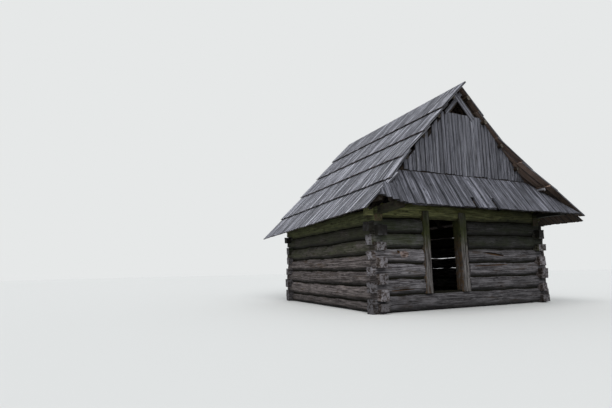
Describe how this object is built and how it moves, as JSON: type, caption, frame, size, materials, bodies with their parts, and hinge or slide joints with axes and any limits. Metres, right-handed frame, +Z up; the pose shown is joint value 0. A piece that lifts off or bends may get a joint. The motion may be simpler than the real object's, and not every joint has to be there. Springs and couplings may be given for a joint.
{
  "type": "log cabin",
  "caption": "Small one-room log cabin with interlocked log corners, an open doorway, a steep boarded roof, a smoke hole and a skirt roof over the entrance.",
  "frame": {"origin": "under the middle of the roof's outline, at the level of the ground", "axes": "+X along the entrance wall, +Y from the entrance towards the back wall, +Z up"},
  "size_m": [5.5832, 5.246, 4.597],
  "materials": {
    "sill_log": "weathered, matt",
    "wall_log": "weathered silver-grey, matt",
    "plate_log": "weathered with a green bloom, matt",
    "door_post": "weathered, matt",
    "roof_board": "weathered silver-grey, matt",
    "gable_board": "weathered silver-grey, matt",
    "skirt_board": "weathered silver-grey, matt",
    "roof_pole": "bare aged timber, matt"
  },
  "bodies": {
    "root": {"back_gable_boards": "gable_board", "back_log_1": "wall_log", "back_log_2": "wall_log", "back_log_3": "wall_log", "back_log_4": "wall_log", "back_log_5": "wall_log", "back_plate": "plate_log", "back_sill": "sill_log", "front_gable_boards": "gable_board", "front_left_log_1": "wall_log", "front_left_log_2": "wall_log", "front_left_log_3": "wall_log", "front_left_log_4": "wall_log", "front_left_log_5": "wall_log", "front_plate": "plate_log", "front_right_log_1": "wall_log", "front_right_log_2": "wall_log", "front_right_log_3": "wall_log", "front_right_log_4": "wall_log", "front_right_log_5": "wall_log", "front_sill": "sill_log", "hip_rafters": "roof_pole", "left_door_post": "door_post", "left_ground_log": "sill_log", "left_laths": "roof_pole", "left_log_1": "wall_log", "left_log_2": "wall_log", "left_log_3": "wall_log", "left_log_4": "wall_log", "left_log_5": "wall_log", "left_plate": "plate_log", "left_rafters": "roof_pole", "left_roof_boards": "roof_board", "right_door_post": "door_post", "right_ground_log": "sill_log", "right_laths": "roof_pole", "right_log_1": "wall_log", "right_log_2": "wall_log", "right_log_3": "wall_log", "right_log_4": "wall_log", "right_log_5": "wall_log", "right_plate": "plate_log", "right_rafters": "roof_pole", "right_roof_boards": "roof_board", "skirt_boards": "skirt_board", "skirt_poles": "roof_pole", "tie_beams": "roof_pole"}
  },
  "joints": []
}
